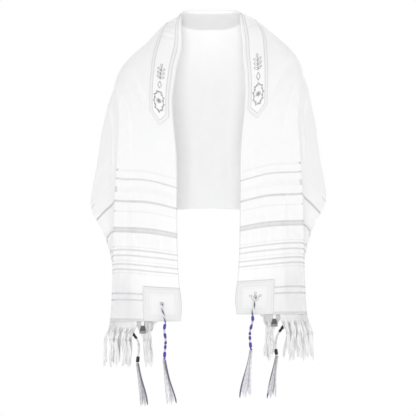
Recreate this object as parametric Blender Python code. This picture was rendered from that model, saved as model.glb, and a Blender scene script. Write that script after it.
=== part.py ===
"""Tallit prayer shawl in the form it takes on a standing wearer.

One rectangular woven cloth lies over the back of the neck and both shoulders and hangs
down in front in two panels whose outer halves fold behind. A neckband is sewn along the
neck edge, a patch on each corner, a fringe on both short ends, a knotted corner tassel
through each patch and a small woven tag beside each front patch.

Lengths in the tables are millimetres, the objects are metres. The front faces -Y, +X is
the wearer's left side, Z is up, and the origin lies in the middle of the neck at the
height of the shoulders.
"""

import math

import bmesh
import bpy
import numpy as np

MM = 0.001

# The cloth
HALF_LENGTH = 925.0
WIDTH = 560.0
CLOTH_WALL = 1.5
SEAM_GAP = 0.3
SHOULDER_CUT = 255.0
TURN_REACH = 16.0

# The trimmings
BAND_START = 10.0
BAND_MIDDLE = 35.0
BAND_END = 60.0
BAND_STRAIGHT = 423.0
BAND_TIP = 452.0
BAND_WALL = 1.2
PATCH_WIDTH = 90.0
PATCH_HEIGHT = 82.0
PATCH_WALL = 1.2
FRINGE_INSET = 104.0
HEADER_GAP = 0.6
HEADER_HEIGHT = 17.0
HEADER_WALL = 2.0
LOCK_LENGTH = 104.0
LOCK_PITCH = 13.0
LOCK_WIDTH = 6.5
TAG_ACROSS = 92.0
TAG_TOP_WIDTH = 7.0
TAG_FOOT_WIDTH = 16.0
TAG_HEIGHT = 30.0
TAG_WALL = 1.2

# How the worn cloth departs from its mirror image
LEFT_DROP = 17.0
LEFT_SLUMP = 9.0
NECK_SHIFT = 5.0

# Waves in the folded outer half, and the crease above each tag
WAVE_HEIGHT = 9.0
WAVE_START = 104.0
WAVE_PITCH = 92.0
WAVE_PITCH_CHANGE = 12.0
CREASE_ACROSS = 116.0
CREASE_HALF_WIDTH = 18.0
CREASE_DEPTH = 3.5

# Lines drawn along the cloth from the middle of the back to the short end, for the half
# that hangs at +X. Columns: side, depth, height, turn (radius of the fold it runs along).
NECK_EDGE = (
    (0, 88, 76, 0),
    (47, 77, 75, 0),
    (70, 48, 69, 0),
    (74, 14, 55, 0),
    (77, -44, -16, 0),
    (85, -84, -80, 0),
    (89, -105, -140, 0),
    (88, -118, -190, 0),
    (81, -127, -257, 0),
    (77, -130, -315, 0),
    (77, -130, -400, 0),
    (76, -130, -500, 0),
    (74, -130, -575, 0),
    (69, -129, -630, 0),
    (65, -129, -664, 0),
    (69, -128, -701, 0),
)
BAND_LINE = (
    (0, 124, 22, 0),
    (62, 106, 27, 0),
    (107, 60, 47, 0),
    (137, 8, 23, 0),
    (152, -40, -28, 0),
    (154, -76, -90, 0),
    (152, -100, -150, 0),
    (150, -116, -210, 0),
    (149, -126, -280, 0),
    (148, -131, -360, 0),
    (146, -133, -460, 0),
    (142, -134, -560, 0),
    (137, -134, -640, 0),
    (134, -133, -701, 0),
)
FRONT_RIDGE = (
    (0, 155, -80, 0),
    (92, 143, -68, 0),
    (160, 104, -52, 0),
    (206, 50, -45, 0),
    (226, 6, -57, 0),
    (231, -44, -92, 2),
    (228, -84, -138, 5),
    (220, -108, -195, 8),
    (222, -118, -270, 8),
    (226, -121, -340, 8),
    (231, -123, -430, 8),
    (235, -125, -530, 9),
    (237, -127, -620, 10),
    (242, -128, -701, 10),
)
SIDE_FOLD = (
    (0, 163, -180, 0),
    (78, 158, -178, 0),
    (150, 138, -174, 0),
    (208, 100, -171, 0),
    (244, 56, -174, 0),
    (264, 18, -198, 0),
    (277, 0, -262, 0),
    (288, -6, -336, 0),
    (300, -8, -422, 4),
    (284, -32, -457, 8),
    (257, -60, -498, 10),
    (228, -82, -545, 10),
    (192, -98, -600, 10),
    (154, -104, -660, 10),
    (140, -106, -704, 10),
)
INNER_FOLD = (
    (0, 160, -283, 0),
    (78, 156, -283, 0),
    (150, 142, -282, 0),
    (212, 112, -281, 0),
    (256, 72, -282, 0),
    (276, 34, -298, 0),
    (284, 8, -360, 0),
    (280, -2, -440, 2),
    (262, -24, -500, 6),
    (244, -48, -560, 10),
    (236, -68, -630, 10),
    (232, -84, -708, 10),
)
REAR_FOLD = (
    (0, 154, -349, 0),
    (78, 151, -350, 0),
    (150, 139, -350, 0),
    (216, 112, -349, 0),
    (264, 76, -350, 0),
    (284, 38, -364, 1),
    (277, 10, -424, 3),
    (240, -6, -492, 6),
    (186, -22, -556, 9),
    (142, -44, -630, 10),
    (128, -62, -712, 10),
)
BACK_HEM = (
    (0, 146, -443, 0),
    (78, 145, -445, 0),
    (150, 134, -446, 0),
    (222, 112, -448, 0),
    (268, 80, -448, 0),
    (282, 44, -456, 0),
    (262, 20, -490, 0),
    (230, 8, -540, 0),
    (212, -8, -600, 0),
    (218, -26, -660, 0),
    (226, -42, -716, 0),
)
# Columns: how far across the cloth the line lies, the line
GUIDES = (
    (0.0, NECK_EDGE),
    (68.0, BAND_LINE),
    (172.0, FRONT_RIDGE),
    (275.0, SIDE_FOLD),
    (385.0, INNER_FOLD),
    (455.0, REAR_FOLD),
    (WIDTH, BACK_HEM),
)

# Rows of the lattice along one half. Columns: from, to, cells.
LENGTH_SPANS = (
    (0.0, 120.0, 6),
    (120.0, SHOULDER_CUT - SEAM_GAP / 2, 6),
    (SHOULDER_CUT - SEAM_GAP / 2, SHOULDER_CUT + SEAM_GAP / 2, 1),
    (SHOULDER_CUT + SEAM_GAP / 2, BAND_STRAIGHT, 6),
    (BAND_STRAIGHT, BAND_TIP, 2),
    (BAND_TIP, 640.0, 7),
    (640.0, HALF_LENGTH - PATCH_HEIGHT, 6),
    (HALF_LENGTH - PATCH_HEIGHT, HALF_LENGTH, 3),
)
# Columns of the lattice across the cloth. Columns: from, to, cells.
WIDTH_SPANS = (
    (0.0, BAND_START, 1),
    (BAND_START, BAND_MIDDLE, 2),
    (BAND_MIDDLE, BAND_END, 2),
    (BAND_END, PATCH_WIDTH, 1),
    (PATCH_WIDTH, 172.0 - TURN_REACH, 2),
    (172.0 - TURN_REACH, 172.0 + TURN_REACH, 3),
    (172.0 + TURN_REACH, 275.0 - TURN_REACH, 3),
    (275.0 - TURN_REACH, 275.0 + TURN_REACH, 3),
    (275.0 + TURN_REACH, 385.0 - TURN_REACH, 3),
    (385.0 - TURN_REACH, 385.0 + TURN_REACH, 3),
    (385.0 + TURN_REACH, 455.0 - TURN_REACH, 2),
    (455.0 - TURN_REACH, WIDTH - PATCH_WIDTH, 3),
    (WIDTH - PATCH_WIDTH, WIDTH, 3),
)

# Corner tassels. Each path runs from below the eyelet in the patch to the end of the wound
# part. Columns: side, depth, height.
FRONT_LEFT_CORD = (
    (-111, -138.5, -697),
    (-106, -138.5, -720),
    (-108, -136, -738),
    (-105, -136, -760),
    (-106, -136, -784),
    (-108, -136, -812),
)
FRONT_RIGHT_CORD = (
    (112, -138.5, -678),
    (107, -138.5, -699),
    (108, -136, -714),
    (103, -136, -735),
    (101, -136, -758),
    (104, -136, -788),
)
REAR_LEFT_CORD = (
    (-187, -54, -712),
    (-195, -57, -746),
    (-180, -58, -768),
    (-174, -58, -794),
    (-176, -57, -812),
    (-178, -57, -830),
)
REAR_RIGHT_CORD = (
    (187, -54, -697),
    (192, -57, -728),
    (178, -58, -750),
    (169, -58, -772),
    (168, -57, -792),
    (171, -57, -811),
)
# Columns: name, end of the cloth, eyelet's distance across, path, side and height where the
# strands end, spread of the strands
TASSELS = (
    ("tzitzit_front_left", -1, 47.0, FRONT_LEFT_CORD, -94, -921, 17),
    ("tzitzit_front_right", 1, 47.0, FRONT_RIGHT_CORD, 90, -905, 15),
    ("tzitzit_rear_left", -1, 513.0, REAR_LEFT_CORD, -161, -938, 13),
    ("tzitzit_rear_right", 1, 513.0, REAR_RIGHT_CORD, 155, -918, 13),
)
EYELET_ABOVE_HEM = 42.0
CORD_RADIUS = 2.6
LOOP_RADIUS = 1.6
LOOP_SHARE = 0.36
KNOT_RADIUS = 5.0
KNOT_REACH = 0.045
KNOT_SHARES = (0.42, 0.58, 0.76, 0.93)
CORD_SIDES = 8
CORD_RINGS = 28
# Loose strands below the last knot. Columns: share of the drop, opening, radius.
STRAND_LEVELS = (
    (0.15, 0.26, 0.9),
    (0.38, 0.40, 1.1),
    (0.62, 0.60, 1.2),
    (0.84, 0.82, 1.2),
    (1.00, 1.00, 0.6),
)
# The locks of the fringe. Columns: share of the length, width, thickness.
LOCK_LEVELS = (
    (0.08, 0.95, 1.0),
    (0.30, 1.00, 1.25),
    (0.55, 1.00, 1.1),
    (0.80, 0.90, 0.9),
    (1.00, 0.55, 0.5),
)
LOCK_HALF_DEPTH = 1.7

# Colours read from the picture. Columns: red, green, blue, roughness.
COLOURS = {
    "woven_white": (0.91, 0.91, 0.92, 0.82),
    "satin_white": (0.86, 0.86, 0.88, 0.45),
    "fringe_white": (0.90, 0.90, 0.91, 0.85),
    "thread_white_blue": (0.62, 0.62, 0.74, 0.75),
    "thread_white_dark": (0.66, 0.66, 0.67, 0.75),
    "tag_grey": (0.11, 0.11, 0.12, 0.70),
}


def natural_curve(knots, values, at):
    """Natural cubic spline through the rows of values."""
    count = len(knots)
    step = np.diff(knots)
    system = np.eye(count)
    right = np.zeros_like(values)
    for i in range(1, count - 1):
        system[i, i - 1] = step[i - 1]
        system[i, i] = 2 * (step[i - 1] + step[i])
        system[i, i + 1] = step[i]
        right[i] = 6 * ((values[i + 1] - values[i]) / step[i] - (values[i] - values[i - 1]) / step[i - 1])
    bend = np.linalg.solve(system, right)
    i = np.clip(np.searchsorted(knots, at, side="right") - 1, 0, count - 2)
    left = (knots[i + 1] - at)[:, None]
    gone = (at - knots[i])[:, None]
    width = step[i][:, None]
    cubic = (bend[i] * left ** 3 + bend[i + 1] * gone ** 3) / (6 * width)
    start = (values[i] / width - bend[i] * width / 6) * left
    end = (values[i + 1] / width - bend[i + 1] * width / 6) * gone
    return cubic + start + end


def steady_curve(knots, values, at):
    """Cubic curve through the rows of values that never swings past a row."""
    step = np.diff(knots)[:, None]
    slope = np.diff(values, axis=0) / step
    same = slope[:-1] * slope[1:] > 0
    before = np.where(same, slope[:-1], 1)
    after = np.where(same, slope[1:], 1)
    near = 2 * step[1:] + step[:-1]
    far = step[1:] + 2 * step[:-1]
    tangent = np.zeros_like(values)
    tangent[1:-1] = np.where(same, (near + far) / (near / before + far / after), 0)
    tangent[0] = slope[0]
    tangent[-1] = slope[-1]
    i = np.clip(np.searchsorted(knots, at, side="right") - 1, 0, len(knots) - 2)
    width = step[i]
    t = (at - knots[i])[:, None] / width
    start = (2 * t ** 3 - 3 * t ** 2 + 1) * values[i] + (t ** 3 - 2 * t ** 2 + t) * width * tangent[i]
    end = (3 * t ** 2 - 2 * t ** 3) * values[i + 1] + (t ** 3 - t ** 2) * width * tangent[i + 1]
    return start + end


def unit(vector):
    """The vector at length one."""
    return vector / max(np.linalg.norm(vector), 1e-9)


def ease(share):
    """Smooth step from 0 to 1."""
    t = np.clip(share, 0, 1)
    return t * t * (3 - 2 * t)


def guide_points(along):
    """Points and fold radii of every guide line at the given distances along."""
    lines = []
    for _, rows in GUIDES:
        rows = np.array(rows, float)
        step = np.linalg.norm(np.diff(rows[:, :3], axis=0), axis=1)
        reach = np.concatenate([[0.0], np.cumsum(step)])
        reach *= HALF_LENGTH / reach[-1]
        mirrored = rows[:0:-1] * np.array([-1, 1, 1, 1])
        knots = np.concatenate([-reach[:0:-1], reach])
        lines.append(natural_curve(knots, np.concatenate([mirrored, rows]), along))
    return np.array(lines)


def cross_section(points, turns, across):
    """One line across the cloth, round its folds."""
    places = np.array([place for place, _ in GUIDES])
    open_curve = natural_curve(places, points, across)
    folded = ease(max(turns) / 6)
    if folded == 0:
        return open_curve
    knots = [GUIDES[0][0]]
    rows = [points[0]]
    for i in range(1, len(points) - 1):
        place = GUIDES[i][0]
        turn = turns[i]
        if turn < 0.5:
            knots.append(place)
            rows.append(points[i])
            continue
        into = unit(points[i] - points[i - 1])
        away = unit(points[i + 1] - points[i])
        outward = unit(into - away)
        sideways = into + away
        sideways = unit(sideways - outward * sideways.dot(outward))
        arc = turn * math.pi / 2
        knots += [place - arc, place, place + arc]
        rows += [
            points[i] - outward * turn - sideways * turn,
            points[i],
            points[i] - outward * turn + sideways * turn,
        ]
    knots.append(GUIDES[-1][0])
    rows.append(points[-1])
    folded_curve = steady_curve(np.array(knots), np.array(rows), across)
    return open_curve * (1 - folded) + folded_curve * folded


def blur(grid, axis, spread):
    """Gaussian smoothing along one axis that keeps the ends in place."""
    reach = int(3 * spread) + 1
    kernel = np.exp(-0.5 * (np.arange(-reach, reach + 1) / spread) ** 2)
    kernel /= kernel.sum()
    moved = np.moveaxis(grid, axis, 0)
    first = 2 * moved[:1] - moved[reach:0:-1]
    last = 2 * moved[-1:] - moved[-2:-reach - 2:-1]
    padded = np.concatenate([first, moved, last])
    total = sum(share * padded[i:i + len(moved)] for i, share in enumerate(kernel))
    return np.moveaxis(total, 0, axis)


def grid_normals(grid):
    """Unit normals of a grid of points, facing out of the worn cloth."""
    normal = np.cross(np.gradient(grid, axis=0), np.gradient(grid, axis=1))
    return normal / np.linalg.norm(normal, axis=2, keepdims=True)


def draped_grid():
    """Fine grid of the whole draped cloth: distances along, across, and the points."""
    along_step = 5.0
    across_step = 4.0
    along = np.arange(-HALF_LENGTH, HALF_LENGTH + 1, along_step)
    across = np.arange(0, WIDTH + 1, across_step)
    lines = guide_points(along)
    grid = np.array([cross_section(lines[:, i, :3], lines[:, i, 3], across) for i in range(len(along))])
    grid = blur(grid, 0, 8 / along_step)
    grid = blur(grid, 1, 4 / across_step)
    distance = np.abs(along)[:, None]
    width = across[None, :]
    drop = ease((distance - 75 - 0.15 * width) / 90) * (along[:, None] < 0)
    grid[..., 2] -= LEFT_DROP * drop
    slump = ease((distance - 145) / 70) * ease((400 - distance) / 120) * (along[:, None] < 0)
    grid[..., 2] -= LEFT_SLUMP * slump
    grid[..., 0] += LEFT_SLUMP / 2 * slump
    shift = ease((distance - 20) / 60) * ease((290 - distance) / 80) * ease(1 - width / 120)
    grid[..., 0] += NECK_SHIFT * shift
    fullness = ease((distance - 90) / 70) * ease((380 - distance) / 90) * ease((width - 190) / 330)
    pitch = WAVE_PITCH + WAVE_PITCH_CHANGE * np.sign(along[:, None])
    wave = np.sin(2 * math.pi * (distance - WAVE_START) / pitch)
    crease = ease(1 - np.abs(width - CREASE_ACROSS) / CREASE_HALF_WIDTH) * ease((distance - 770) / 110)
    offset = WAVE_HEIGHT * fullness * wave - CREASE_DEPTH * crease
    return along, across, grid + grid_normals(grid) * offset[..., None]


def span_stops(spans):
    """Lattice positions of a table of spans."""
    stops = [spans[0][0]]
    for start, end, cells in spans:
        stops += [start + (end - start) * (k + 1) / cells for k in range(cells)]
    return np.array(stops)


def read_grid(along, across, grid, rows, columns):
    """Points of the fine grid at the lattice rows and columns."""
    part = np.stack([[np.interp(columns, across, line[:, k]) for line in grid] for k in range(3)], -1)
    flat = part.reshape(len(along), -1)
    read = np.stack([np.interp(rows, along, flat[:, k]) for k in range(flat.shape[1])], -1)
    return read.reshape(len(rows), len(columns), 3)


FINE_ALONG, FINE_ACROSS, FINE_GRID = draped_grid()
HALF_ROWS = span_stops(LENGTH_SPANS)
ROWS = np.concatenate([-HALF_ROWS[:0:-1], HALF_ROWS])
COLUMNS = span_stops(WIDTH_SPANS)
LATTICE = read_grid(FINE_ALONG, FINE_ACROSS, FINE_GRID, ROWS, COLUMNS)
FINE_NORMALS = grid_normals(FINE_GRID)
LATTICE_NORMALS = read_grid(FINE_ALONG, FINE_ACROSS, FINE_NORMALS, ROWS, COLUMNS)
LATTICE_NORMALS /= np.linalg.norm(LATTICE_NORMALS, axis=2, keepdims=True)


def lattice_triangles(row_low, row_high, column_low, column_high):
    """Triangles of the lattice cells between the given distances, facing out."""
    triangles = []
    for i in range(len(ROWS) - 1):
        if ROWS[i] < row_low - 0.01 or ROWS[i + 1] > row_high + 0.01:
            continue
        for j in range(len(COLUMNS) - 1):
            if COLUMNS[j] < column_low - 0.01 or COLUMNS[j + 1] > column_high + 0.01:
                continue
            corner, along_one, across_one, opposite = (i, j), (i + 1, j), (i, j + 1), (i + 1, j + 1)
            middle = abs(ROWS[i] + ROWS[i + 1]) / 2
            if BAND_STRAIGHT < middle < BAND_TIP and BAND_START < COLUMNS[j + 1] <= BAND_END:
                straight = (COLUMNS[j] < BAND_MIDDLE) == (ROWS[i] > 0)
            else:
                one = np.linalg.norm(LATTICE[corner] - LATTICE[opposite])
                straight = one <= np.linalg.norm(LATTICE[along_one] - LATTICE[across_one])
            if straight:
                triangles += [(corner, across_one, opposite), (corner, opposite, along_one)]
            else:
                triangles += [(corner, across_one, along_one), (across_one, opposite, along_one)]
    return triangles


def add_material(item, colour):
    """Give an object its own material."""
    red, green, blue, roughness = COLOURS[colour]
    material = bpy.data.materials.new(item.name + "_" + colour)
    material.use_nodes = True
    shader = material.node_tree.nodes["Principled BSDF"]
    shader.inputs["Base Color"].default_value = (red, green, blue, 1.0)
    shader.inputs["Roughness"].default_value = roughness
    shader.inputs["Metallic"].default_value = 0.0
    item.data.materials.append(material)


def add_mesh(name, points, faces, colour):
    """Mesh object of the shawl, from points in millimetres."""
    mesh = bpy.data.meshes.new(name)
    mesh.from_pydata([tuple(MM * float(value) for value in point) for point in points], [], faces)
    item = bpy.data.objects.new(name, mesh)
    shawl.objects.link(item)
    add_material(item, colour)
    return item


def face_outward(item):
    """Turn the faces of a closed mesh to face out."""
    work = bmesh.new()
    work.from_mesh(item.data)
    bmesh.ops.recalc_face_normals(work, faces=work.faces)
    if work.calc_volume(signed=True) < 0:
        bmesh.ops.reverse_faces(work, faces=work.faces)
    work.to_mesh(item.data)
    work.free()


def add_sheet(name, triangles, level, wall, colour):
    """Wall over lattice triangles, from a level inward, cut square to the cloth at its edges."""
    used = sorted({corner for triangle in triangles for corner in triangle})
    number = {corner: k for k, corner in enumerate(used)}
    count = len(used)
    points = [LATTICE[corner] + LATTICE_NORMALS[corner] * level for corner in used]
    points += [LATTICE[corner] + LATTICE_NORMALS[corner] * (level - wall) for corner in used]
    faces = []
    edges = set()
    for triangle in triangles:
        a, b, c = (number[corner] for corner in triangle)
        faces += [(a, b, c), (c + count, b + count, a + count)]
        edges |= {(a, b), (b, c), (c, a)}
    faces += [(b, a, a + count, b + count) for a, b in sorted(edges) if (b, a) not in edges]
    face_outward(add_mesh(name, points, faces, colour))


def band_triangles():
    """Lattice triangles under the neckband with its two pointed ends."""
    kept = []
    for triangle in lattice_triangles(-BAND_TIP, BAND_TIP, BAND_START, BAND_END):
        along = abs(sum(ROWS[i] for i, _ in triangle)) / 3
        across = sum(COLUMNS[j] for _, j in triangle) / 3
        slack = (along - BAND_STRAIGHT) / (BAND_TIP - BAND_STRAIGHT)
        half_width = (BAND_END - BAND_START) / 2 * (1 - max(slack, 0))
        if abs(across - BAND_MIDDLE) < half_width:
            kept.append(triangle)
    return kept


def cloth_line(row, across):
    """Points, downward and outward directions on the lattice along one of its rows."""
    beyond = -1 if ROWS[row] > 0 else 1
    reads = []
    for values in (LATTICE[row], LATTICE[row] - LATTICE[row + beyond], LATTICE_NORMALS[row]):
        reads.append(np.stack([np.interp(across, COLUMNS, values[:, k]) for k in range(3)], -1))
    points, down, out = reads
    return points, down / np.linalg.norm(down, axis=1, keepdims=True), out


def add_fringe(name, end):
    """Header strip below one hem, with a row of loose locks growing from its lower edge."""
    count = int(round((WIDTH - 2 * FRINGE_INSET) / LOCK_PITCH))
    stops = np.linspace(FRINGE_INSET, WIDTH - FRINGE_INSET, count + 1)
    points, down, out = cloth_line(-1 if end > 0 else 0, stops)
    vertices = []
    for k in range(count + 1):
        for level in (HEADER_GAP, HEADER_HEIGHT):
            for side in (-HEADER_WALL / 2, HEADER_WALL / 2):
                vertices.append(points[k] + down[k] * level + out[k] * side)
    faces = []
    for k in range(count):
        a, b = 4 * k, 4 * (k + 1)
        faces += [(a, b, b + 1, a + 1), (a, b, b + 2, a + 2), (a + 1, b + 1, b + 3, a + 3)]
    last = 4 * count
    faces += [(0, 1, 3, 2), (last, last + 1, last + 3, last + 2)]
    for k in range(count):
        ring = [4 * k + 2, 4 * k + 6, 4 * k + 7, 4 * k + 3]
        middle = sum(vertices[corner] for corner in ring) / 4
        drop = unit(down[k] + down[k + 1])
        lateral = unit(points[k + 1] - points[k])
        facing = unit(out[k] + out[k + 1])
        phase = 2.4 * k + 0.7 * end
        length = LOCK_LENGTH * (1 + 0.06 * math.sin(1.7 * k + end)) - HEADER_HEIGHT
        for share, wide, thick in LOCK_LEVELS:
            sway = (2.4 * math.sin(phase + 4.5 * share) + 1.8 * math.sin(0.9 * k)) * share
            bow = 1.5 * math.cos(1.3 * phase + 3.8 * share) * share
            centre = middle + drop * (length * share) + lateral * sway + facing * bow
            breadth = lateral * (LOCK_WIDTH / 2 * wide)
            depth = facing * (LOCK_HALF_DEPTH * thick)
            start = len(vertices)
            vertices += [centre - breadth - depth, centre + breadth - depth]
            vertices += [centre + breadth + depth, centre - breadth + depth]
            faces += [(ring[s], ring[s - 3], start + (s + 1) % 4, start + s) for s in range(4)]
            ring = [start, start + 1, start + 2, start + 3]
        faces.append(tuple(ring))
    face_outward(add_mesh(name, vertices, faces, "fringe_white"))


def cord_radius(share):
    """Radius of a tassel's cord, with its knots, at a share of its path."""
    radius = LOOP_RADIUS + (CORD_RADIUS - LOOP_RADIUS) * ease((share - LOOP_SHARE) / 0.06)
    for place in KNOT_SHARES:
        off = (share - place) / KNOT_REACH
        radius += (KNOT_RADIUS - CORD_RADIUS) * math.exp(-off * off)
    return radius


def add_tassel(name, end, across, path, end_side, end_height, spread):
    """Wound and knotted cord with eight loose strands fused to its lower end."""
    point, down, out = cloth_line(-1 if end > 0 else 0, np.array([across]))
    clear = CLOTH_WALL / 2 + PATCH_WALL + 2 * SEAM_GAP + LOOP_RADIUS
    rows = np.concatenate([point - down * EYELET_ABOVE_HEM + out * clear, np.array(path, float)])
    step = np.linalg.norm(np.diff(rows, axis=0), axis=1)
    knots = np.concatenate([[0.0], np.cumsum(step)]) / step.sum()
    shares = np.linspace(0, 1, CORD_RINGS)
    centres = natural_curve(knots, rows, shares)
    heading = np.gradient(centres, axis=0)
    vertices = []
    faces = [tuple(range(CORD_SIDES))]
    for centre, ahead, share in zip(centres, heading, shares):
        side = unit(np.cross(ahead, (0.0, 1.0, 0.0)))
        front = unit(np.cross(side, ahead))
        for k in range(CORD_SIDES):
            angle = 2 * math.pi * (k + 0.5) / CORD_SIDES
            arm = side * math.cos(angle) + front * math.sin(angle)
            vertices.append(centre + arm * cord_radius(share))
    for low in range(0, (CORD_RINGS - 1) * CORD_SIDES, CORD_SIDES):
        high = low + CORD_SIDES
        for k in range(CORD_SIDES):
            following = (k + 1) % CORD_SIDES
            faces.append((low + k, low + following, high + following, high + k))
    foot = (CORD_RINGS - 1) * CORD_SIDES
    hub = len(vertices)
    vertices.append(centres[-1])
    fall = np.array([end_side, rows[-1][1], end_height]) - centres[-1]
    for k in range(CORD_SIDES):
        ring = [hub, foot + k, foot + (k + 1) % CORD_SIDES]
        middle = sum(vertices[corner] for corner in ring) / 3
        arms = [unit((vertices[corner] - middle) * (1, 1, 0)) for corner in ring]
        spoke = unit((middle - centres[-1]) * (1, 1, 0)) * (1, 0.6, 0)
        reach = 1 - 0.05 * ((3 * k) % 4)
        for share, opening, radius in STRAND_LEVELS:
            curl = 2.2 * math.sin(3.1 * share + 2.1 * k) * share
            centre = centres[-1] + fall * (share * reach) + spoke * (spread * opening)
            start = len(vertices)
            vertices += [centre + arm * radius + (curl, 0, 0) for arm in arms]
            faces += [(ring[s], ring[s - 2], start + (s + 1) % 3, start + s) for s in range(3)]
            ring = [start, start + 1, start + 2]
        faces.append(tuple(ring))
    colour = "thread_white_blue" if across < WIDTH / 2 else "thread_white_dark"
    face_outward(add_mesh(name, vertices, faces, colour))


def add_tag(name, end):
    """Small woven tag hanging from the hem beside the front patch, wider at its foot."""
    point, _, _ = cloth_line(-1 if end > 0 else 0, np.array([TAG_ACROSS]))
    side, depth, hem = point[0]
    work = bmesh.new()
    bmesh.ops.create_cube(work, size=1.0)
    for corner in work.verts:
        width = TAG_TOP_WIDTH if corner.co.z > 0 else TAG_FOOT_WIDTH
        corner.co.x = (side + corner.co.x * width) * MM
        corner.co.y = (depth + corner.co.y * TAG_WALL) * MM
        corner.co.z = (hem - SEAM_GAP + (corner.co.z - 0.5) * TAG_HEIGHT) * MM
    mesh = bpy.data.meshes.new(name)
    work.to_mesh(mesh)
    work.free()
    item = bpy.data.objects.new(name, mesh)
    shawl.objects.link(item)
    add_material(item, "tag_grey")


for old in list(bpy.data.objects):
    bpy.data.objects.remove(old, do_unlink=True)
shawl = bpy.data.collections.new("tallit_prayer_shawl")
bpy.context.scene.collection.children.link(shawl)

# The three stretches of the one cloth, parted at the shoulders
CUT_LOW = SHOULDER_CUT - SEAM_GAP / 2
CUT_HIGH = SHOULDER_CUT + SEAM_GAP / 2
for stretch, first, last in (
    ("cloth_back", -CUT_LOW, CUT_LOW),
    ("cloth_left_front", -HALF_LENGTH, -CUT_HIGH),
    ("cloth_right_front", CUT_HIGH, HALF_LENGTH),
):
    cells = lattice_triangles(first, last, 0, WIDTH)
    add_sheet(stretch, cells, CLOTH_WALL / 2, CLOTH_WALL, "woven_white")

# The neckband, sewn round the neck and down both fronts
BASE = CLOTH_WALL / 2 + SEAM_GAP
add_sheet("atara", band_triangles(), BASE + BAND_WALL, BAND_WALL, "satin_white")

# Patches, fringe and tag of each short end
for end_name, end in (("left", -1), ("right", 1)):
    low, high = sorted((end * (HALF_LENGTH - PATCH_HEIGHT), end * HALF_LENGTH))
    for place, edge in (("front", 0.0), ("rear", WIDTH - PATCH_WIDTH)):
        cells = lattice_triangles(low, high, edge, edge + PATCH_WIDTH)
        patch_name = "corner_patch_" + place + "_" + end_name
        add_sheet(patch_name, cells, BASE + PATCH_WALL, PATCH_WALL, "satin_white")
    add_fringe("fringe_" + end_name, end)
    add_tag("hem_tag_" + end_name, end)

# Corner tassels
for row in TASSELS:
    add_tassel(*row)
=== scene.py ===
import math
import random

import bpy
import numpy as np
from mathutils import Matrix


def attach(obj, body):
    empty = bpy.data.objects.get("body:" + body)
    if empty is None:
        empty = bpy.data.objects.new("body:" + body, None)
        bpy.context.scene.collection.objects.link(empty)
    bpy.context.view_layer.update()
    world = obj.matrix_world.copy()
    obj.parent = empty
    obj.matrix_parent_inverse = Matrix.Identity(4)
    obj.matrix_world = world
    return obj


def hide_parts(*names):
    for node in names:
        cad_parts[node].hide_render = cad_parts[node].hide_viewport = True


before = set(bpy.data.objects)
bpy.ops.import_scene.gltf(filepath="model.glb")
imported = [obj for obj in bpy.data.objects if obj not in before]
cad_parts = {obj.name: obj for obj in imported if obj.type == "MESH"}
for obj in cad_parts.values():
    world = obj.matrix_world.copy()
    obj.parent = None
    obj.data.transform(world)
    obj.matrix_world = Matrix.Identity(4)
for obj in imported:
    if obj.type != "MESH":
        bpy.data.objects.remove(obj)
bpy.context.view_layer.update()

# The shawl's cloth: one rectangle of white yarn, 0.56 m wide and 1.85 m long, woven in one
# piece with silver stripes across both ends. It lies over the back of the neck and the
# shoulders and hangs from there along the guide lines below. Lengths are millimetres.
MM = 0.001
HALF_LENGTH = 925.0
CLOTH_WIDTH = 560.0
CLOTH_WALL = 0.8
RIDGE = 172.0
ROWS = 297
COLUMNS = 141
LEFT_DROP = 17.0
LEFT_SLUMP = 9.0
NECK_SHIFT = 5.0
WAVE_HEIGHT = 9.0
WAVE_START = 104.0
WAVE_PITCH = 92.0
WAVE_PITCH_CHANGE = 12.0
CREASE_ACROSS = 116.0
CREASE_HALF_WIDTH = 18.0
CREASE_DEPTH = 3.5

# Guide lines from the middle of the back to the short end, for the half that hangs at +X.
# Columns: side, depth, height, turn (radius of the fold it runs along).
NECK_EDGE = (
    (0, 88, 76, 0),
    (47, 77, 75, 0),
    (70, 48, 69, 0),
    (74, 14, 55, 0),
    (77, -44, -16, 0),
    (85, -84, -80, 0),
    (89, -105, -140, 0),
    (88, -118, -190, 0),
    (81, -127, -257, 0),
    (77, -130, -315, 0),
    (77, -130, -400, 0),
    (76, -130, -500, 0),
    (74, -130, -575, 0),
    (69, -129, -630, 0),
    (65, -129, -664, 0),
    (69, -128, -701, 0),
)
BAND_LINE = (
    (0, 124, 22, 0),
    (62, 106, 27, 0),
    (107, 60, 47, 0),
    (137, 8, 23, 0),
    (152, -40, -28, 0),
    (154, -76, -90, 0),
    (152, -100, -150, 0),
    (150, -116, -210, 0),
    (149, -126, -280, 0),
    (148, -131, -360, 0),
    (146, -133, -460, 0),
    (142, -134, -560, 0),
    (137, -134, -640, 0),
    (134, -133, -701, 0),
)
FRONT_RIDGE = (
    (0, 155, -80, 0),
    (92, 143, -68, 0),
    (160, 104, -52, 0),
    (206, 50, -45, 0),
    (226, 6, -57, 0),
    (231, -44, -92, 2),
    (228, -84, -138, 5),
    (220, -108, -195, 8),
    (222, -118, -270, 8),
    (226, -121, -340, 8),
    (231, -123, -430, 8),
    (235, -125, -530, 9),
    (237, -127, -620, 10),
    (242, -128, -701, 10),
)
SIDE_FOLD = (
    (0, 163, -180, 0),
    (78, 158, -178, 0),
    (150, 138, -174, 0),
    (208, 100, -171, 0),
    (244, 56, -174, 0),
    (264, 18, -198, 0),
    (277, 0, -262, 0),
    (288, -6, -336, 0),
    (300, -8, -422, 4),
    (284, -32, -457, 8),
    (257, -60, -498, 10),
    (228, -82, -545, 10),
    (192, -98, -600, 10),
    (154, -104, -660, 10),
    (140, -106, -704, 10),
)
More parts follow.
